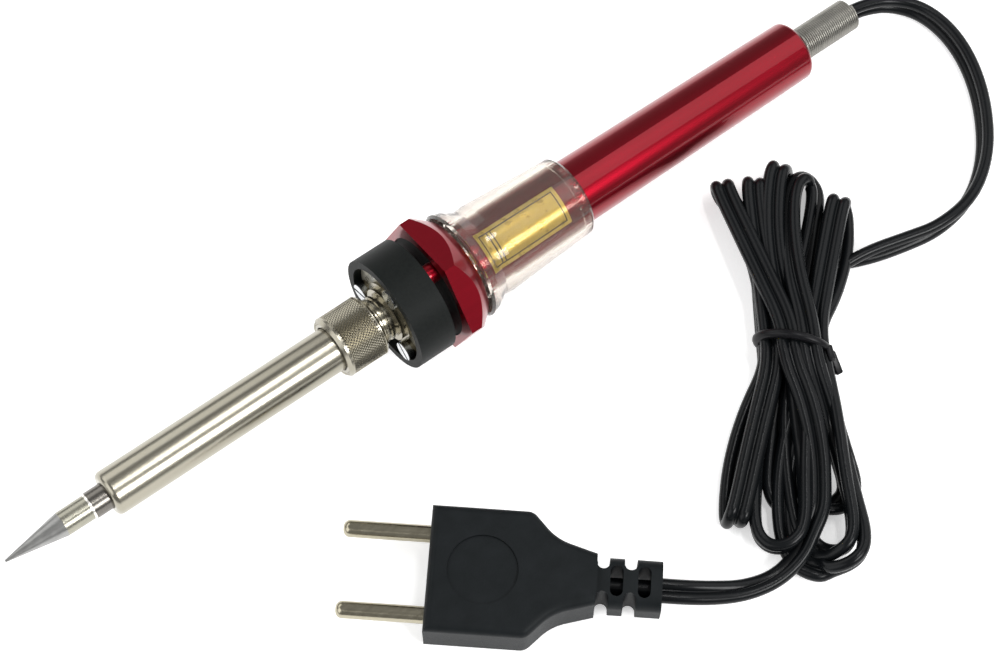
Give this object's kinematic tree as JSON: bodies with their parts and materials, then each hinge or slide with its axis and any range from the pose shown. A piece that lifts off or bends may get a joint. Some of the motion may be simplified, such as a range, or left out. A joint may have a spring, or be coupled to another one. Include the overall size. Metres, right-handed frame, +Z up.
{
  "type": "soldering iron",
  "caption": "Slim soldering iron: conical tip in a steel barrel with a knurled nut, insulating collar, red hexagonal flange and handle, clear sleeve, and a hanked flex with a two-pin plug.",
  "frame": {"origin": "middle of the iron's footprint on the surface it lies on, without its flex and plug", "axes": "tool axis in the XZ plane, tip towards -X and raised, flex leaves towards +X, +Z up"},
  "size_m": [0.2651, 0.1269, 0.0331],
  "materials": {
    "tip_plating": "dull iron and tin plating",
    "stainless": "fine circumferential polish",
    "nickel_plate": "bright nickel",
    "ceramic": "fired alumina, satin",
    "mica": "pressed mica sheet",
    "phenolic": "moulded phenolic",
    "red_anodised": "deep red gloss anodising",
    "black_board": "black insulating board",
    "zinc_screw": "bright zinc plating",
    "fibre_board": "varnished fibre tube",
    "clear_sleeve": "soft clear moulded plastic",
    "gold_label": "polished gold foil",
    "nickel_wire": "drawn wire",
    "glass_sleeving": "woven glass sleeving",
    "brass_parts": "turned brass",
    "copper_core": "tinned copper strands",
    "flex_pvc": "satin black PVC",
    "spring_steel": "zinc-plated spring wire",
    "plug_pvc": "finely textured black PVC",
    "pin_nickel": "nickel plate",
    "tie_pvc": "black PVC over wire"
  },
  "bodies": {
    "handle": {"threaded_neck": "nickel_plate", "ear_plate": "nickel_plate", "heater_core": "ceramic", "heater_base": "ceramic", "mica_disc": "mica", "insulating_collar": "phenolic", "spacers": "red_anodised", "rear_disc": "black_board", "flange_screws": "zinc_screw", "hex_flange": "red_anodised", "handle_tube": "red_anodised", "inner_liner": "fibre_board", "grip_sleeve": "clear_sleeve", "nameplate": "gold_label", "heater_leads": "nickel_wire", "lead_sleeves": "glass_sleeving", "terminal_block": "ceramic", "terminal_screws": "brass_parts", "flex_conductors": "copper_core", "flex_in_handle": "flex_pvc", "flex_clamp": "black_board", "clamp_screw": "zinc_screw", "flex_ferrule": "brass_parts", "relief_spring": "spring_steel", "plug_body": "plug_pvc", "plug_pins": "pin_nickel", "plug_bridge": "black_board", "plug_leads": "copper_core", "flex_in_plug": "flex_pvc", "flex_to_hank": "flex_pvc", "flex_to_plug": "flex_pvc", "flex_hank": "flex_pvc", "hank_tie": "tie_pvc"},
    "barrel": {"barrel": "stainless", "soldering_tip": "tip_plating"},
    "nut": {"knurled_nut": "stainless"}
  },
  "joints": [
    {"name": "barrel_slide", "type": "slide", "parent": "handle", "child": "barrel", "axis": [-0.9967, 0, 0.0813], "range_m": [0, 0.005]},
    {"name": "nut_turn", "type": "hinge", "parent": "barrel", "child": "nut", "pos_m": [-0.0297, 0, 0.01839], "axis": [-0.9967, 0, 0.0813], "range_deg": [0, 1800]}
  ],
  "couplings": [
    {"joint": "barrel_slide", "follows": "nut_turn", "m_per_rad": 0.00015915}
  ]
}
